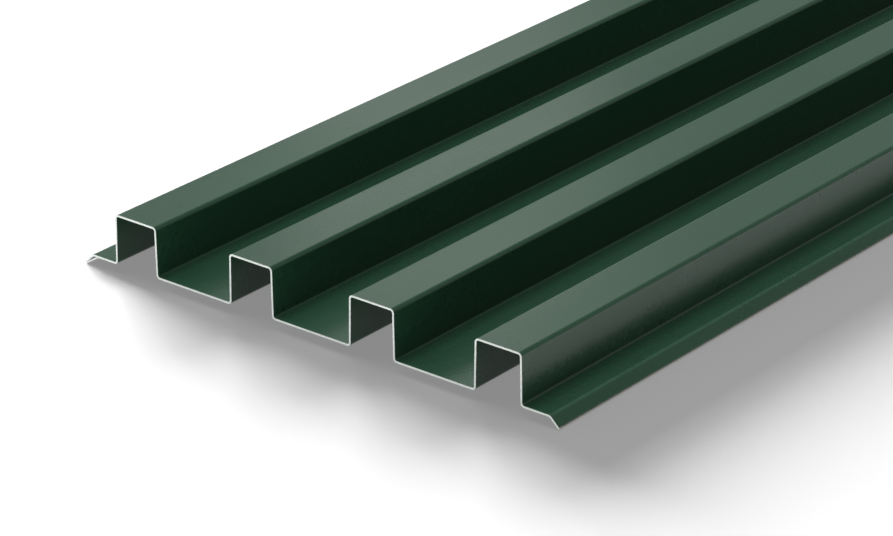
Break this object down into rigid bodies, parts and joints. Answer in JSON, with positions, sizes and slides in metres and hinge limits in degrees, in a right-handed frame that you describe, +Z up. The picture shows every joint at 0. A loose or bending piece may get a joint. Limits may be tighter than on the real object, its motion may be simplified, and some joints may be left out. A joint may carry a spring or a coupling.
{
  "type": "box profile roofing sheet",
  "caption": "Roll-formed steel roofing sheet with square upright ribs, flat pans and a turned-down lip along each long edge, coated moss green.",
  "frame": {"origin": "middle of the sheet's footprint, on the floor plane under the lower edges of its two lips", "axes": "+Z up through the crowns; +Y along the ribs, away from the cut end the picture shows; +X across the sheet, to the picture's right-hand edge lip"},
  "size_m": [0.4538, 2, 0.0489],
  "materials": {
    "green_coating": "semi-gloss coil coating, bare steel on the cut ends"
  },
  "bodies": {
    "root": {"roofing_sheet": "green_coating"}
  },
  "joints": []
}
